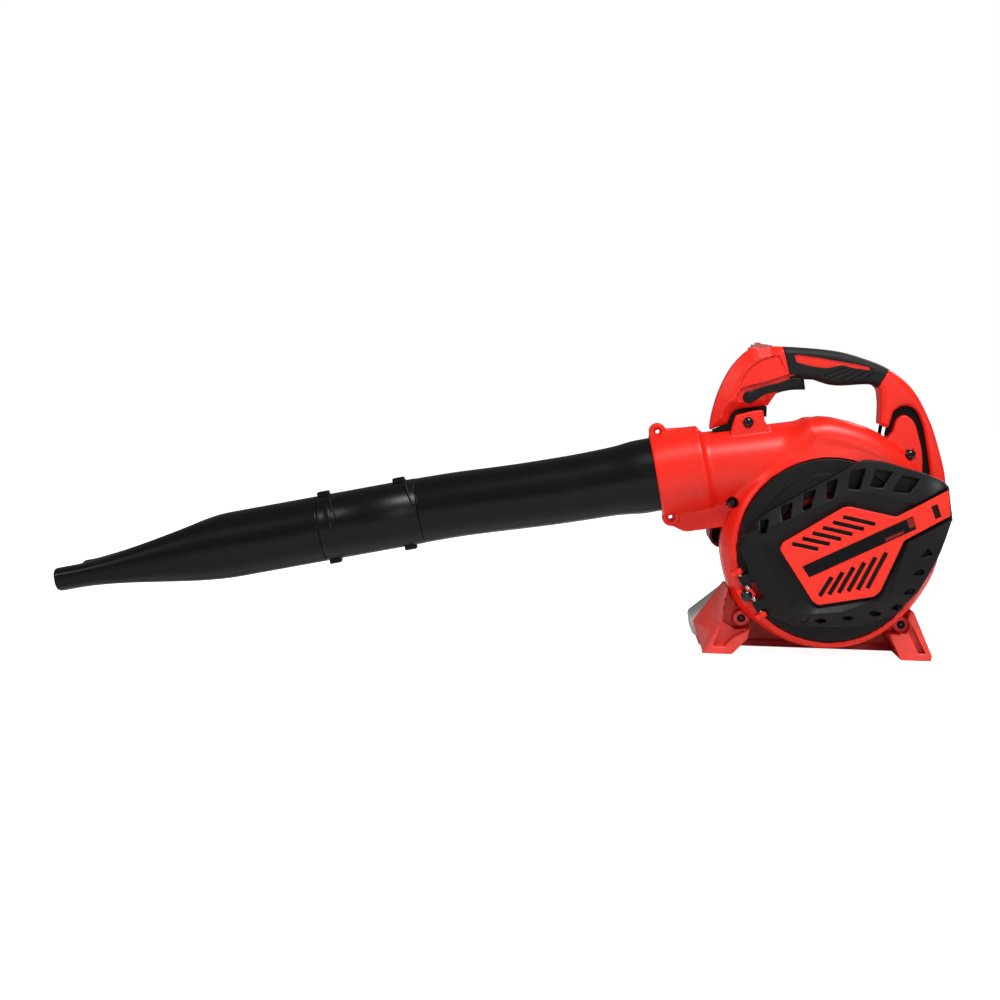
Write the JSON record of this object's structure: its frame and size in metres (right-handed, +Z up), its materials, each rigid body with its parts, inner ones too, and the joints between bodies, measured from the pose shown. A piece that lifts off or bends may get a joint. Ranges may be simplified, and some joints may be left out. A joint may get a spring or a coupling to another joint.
{
  "type": "handheld leaf blower",
  "caption": "Hand-held petrol leaf blower: red fan housing with hinged black inlet cover, loop handle with trigger, long black blower tube with flat nozzle, two-foot stand, engine behind.",
  "frame": {"origin": "on the ground, at the middle of the footprint of the whole blower", "axes": "+X from the nozzle towards the rear of the handle, +Y from the inlet cover towards the starter, +Z up"},
  "size_m": [1.0544, 0.2367, 0.3669],
  "materials": {
    "red_plastic": "satin moulded plastic, orange-red",
    "cover_plastic": "matte charcoal moulded plastic",
    "panel_red": "darker red grille panel, satin",
    "label_black": "glossy black name plate",
    "tube_black": "semi-gloss black plastic tube",
    "stand_plastic": "satin orange-red plastic, lightly grained",
    "black_plastic": "matte black plastic",
    "black_screw": "black coated steel screws, glossy",
    "rubber": "black rubber, dull",
    "steel": "bright steel",
    "bright_spring": "bright plated spring wire",
    "cast_aluminium": "as-cast aluminium",
    "impeller_grey": "grey fibre-filled plastic",
    "muffler_steel": "heat-dulled steel",
    "tank_plastic": "translucent milky plastic",
    "filter_foam": "open foam",
    "primer_clear": "clear rubber bulb",
    "ceramic": "white glazed insulator",
    "switch_grey": "grey switch bezel"
  },
  "bodies": {
    "frame": {"air_cleaner_base": "black_plastic", "air_cleaner_cover": "black_plastic", "air_filter": "filter_foam", "blower_tube_rear": "tube_black", "carburettor": "cast_aluminium", "cover_hinge_bracket": "red_plastic", "cover_hinge_pin": "steel", "cover_hinge_springs": "bright_spring", "crank_bearings": "steel", "crankcase_fan_side": "cast_aluminium", "crankcase_starter_side": "cast_aluminium", "cylinder": "cast_aluminium", "engine_shroud": "black_plastic", "fan_housing_engine_half": "red_plastic", "fan_housing_inlet_half": "red_plastic", "fuel_lines": "rubber", "fuel_tank": "tank_plastic", "grip_sleeve": "black_plastic", "handle_far_half": "red_plastic", "handle_mount_rubbers": "rubber", "handle_near_half": "red_plastic", "handle_screws": "black_screw", "housing_screws": "black_screw", "ht_lead": "rubber", "ignition_coil": "black_plastic", "intake_insulator": "black_plastic", "muffler": "muffler_steel", "muffler_guard": "panel_red", "recoil_spring": "steel", "spark_plug": "ceramic", "spark_plug_cap": "rubber", "stand": "stand_plastic", "stand_screws": "black_screw", "starter_housing": "black_plastic", "stop_switch_base": "switch_grey", "throttle_cable": "rubber", "trigger_pin": "steel", "trigger_spring": "bright_spring"},
    "cover": {"inlet_cover": "cover_plastic", "inlet_cover_panel": "panel_red", "cover_label_plate": "label_black"},
    "latch": {"cover_latch": "black_plastic"},
    "middle_tube": {"blower_tube_middle": "tube_black"},
    "nozzle": {"flat_nozzle": "tube_black"},
    "trigger": {"throttle_trigger": "black_plastic"},
    "cruise_control": {"cruise_lever": "red_plastic"},
    "rocker": {"stop_switch_rocker": "panel_red"},
    "carburettor_throttle": {"throttle_lever": "steel"},
    "rotor": {"impeller": "impeller_grey", "impeller_nut": "steel", "crankshaft": "steel", "flywheel": "cast_aluminium"},
    "piston_body": {"piston": "cast_aluminium"},
    "pull_grip": {"starter_grip": "black_plastic", "starter_rope": "rubber"},
    "rope_pulley": {"starter_pulley": "impeller_grey"},
    "choke": {"choke_lever": "black_plastic"},
    "primer": {"primer_bulb": "primer_clear"},
    "filler_cap": {"fuel_cap": "black_plastic"},
    "filter_knob": {"air_cleaner_knob": "black_plastic"}
  },
  "joints": [
    {"name": "cover_hinge", "type": "hinge", "parent": "frame", "child": "cover", "pos_m": [0.3, -0.105, 0.0755], "axis": [0.5201, 0, -0.8541], "range_deg": [0, 100], "stiffness_Nm_per_rad": 0.12, "springref_deg": -28.65},
    {"name": "cover_latch_slide", "type": "slide", "parent": "cover", "child": "latch", "axis": [0, 0, 1], "range_m": [0, 0.0035], "stiffness_N_per_m": 300, "springref_m": -0.002},
    {"name": "middle_tube_twist", "type": "hinge", "parent": "frame", "child": "middle_tube", "pos_m": [-0.0925, -0.047, 0.1546], "axis": [0.9774, 0, 0.2113], "range_deg": [0, 20]},
    {"name": "nozzle_twist", "type": "hinge", "parent": "middle_tube", "child": "nozzle", "pos_m": [-0.20979, -0.047, 0.12924], "axis": [0.9774, 0, 0.2113], "range_deg": [0, 20]},
    {"name": "throttle_trigger_pull", "type": "hinge", "parent": "frame", "child": "trigger", "pos_m": [0.292, -0.047, 0.302], "axis": [0, -1, 0], "range_deg": [0, 9], "stiffness_Nm_per_rad": 0.6, "springref_deg": -28.65},
    {"name": "carburettor_throttle_turn", "type": "hinge", "parent": "frame", "child": "carburettor_throttle", "pos_m": [0.455, 0.041, 0.19], "axis": [0, -1, 0], "range_deg": [0, 54.5]},
    {"name": "cruise_lever_turn", "type": "hinge", "parent": "frame", "child": "cruise_control", "pos_m": [0.292, -0.067, 0.302], "axis": [0, 1, 0], "range_deg": [0, 20]},
    {"name": "stop_switch_rock", "type": "hinge", "parent": "frame", "child": "rocker", "pos_m": [0.306, -0.047, 0.362], "axis": [0, -1, 0], "range_deg": [0, 12]},
    {"name": "fan_spin", "type": "hinge", "parent": "frame", "child": "rotor", "pos_m": [0.39, -0.047, 0.128], "axis": [0, 1, 0], "continuous": true},
    {"name": "piston_stroke", "type": "slide", "parent": "frame", "child": "piston_body", "axis": [0, 0, -1], "range_m": [0, 0.026]},
    {"name": "starter_pull", "type": "slide", "parent": "frame", "child": "pull_grip", "axis": [0, 0, 1], "range_m": [0, 0.6], "stiffness_N_per_m": 15, "springref_m": -0.3, "deforming": ["starter_rope"]},
    {"name": "starter_pulley_spin", "type": "hinge", "parent": "frame", "child": "rope_pulley", "pos_m": [0.39, 0.082, 0.128], "axis": [0, -1, 0], "range_deg": [0, 1720]},
    {"name": "choke_lever_turn", "type": "hinge", "parent": "frame", "child": "choke", "pos_m": [0.4615, 0.063, 0.1945], "axis": [0, 1, 0], "range_deg": [0, 60]},
    {"name": "primer_press", "type": "slide", "parent": "frame", "child": "primer", "axis": [0, -1, 0], "range_m": [0, 0.004], "stiffness_N_per_m": 400, "springref_m": -0.001},
    {"name": "fuel_cap_turn", "type": "hinge", "parent": "frame", "child": "filler_cap", "pos_m": [0.316, 0.0894, 0.0798], "axis": [0, 0.7593, 0.6508], "continuous": true},
    {"name": "filter_knob_turn", "type": "hinge", "parent": "frame", "child": "filter_knob", "pos_m": [0.506, 0.059, 0.184], "axis": [1, 0, 0], "continuous": true}
  ],
  "couplings": [
    {"joint": "carburettor_throttle_turn", "follows": "throttle_trigger_pull", "ratio": 6},
    {"joint": "starter_pulley_spin", "follows": "starter_pull", "rad_per_m": 50}
  ]
}
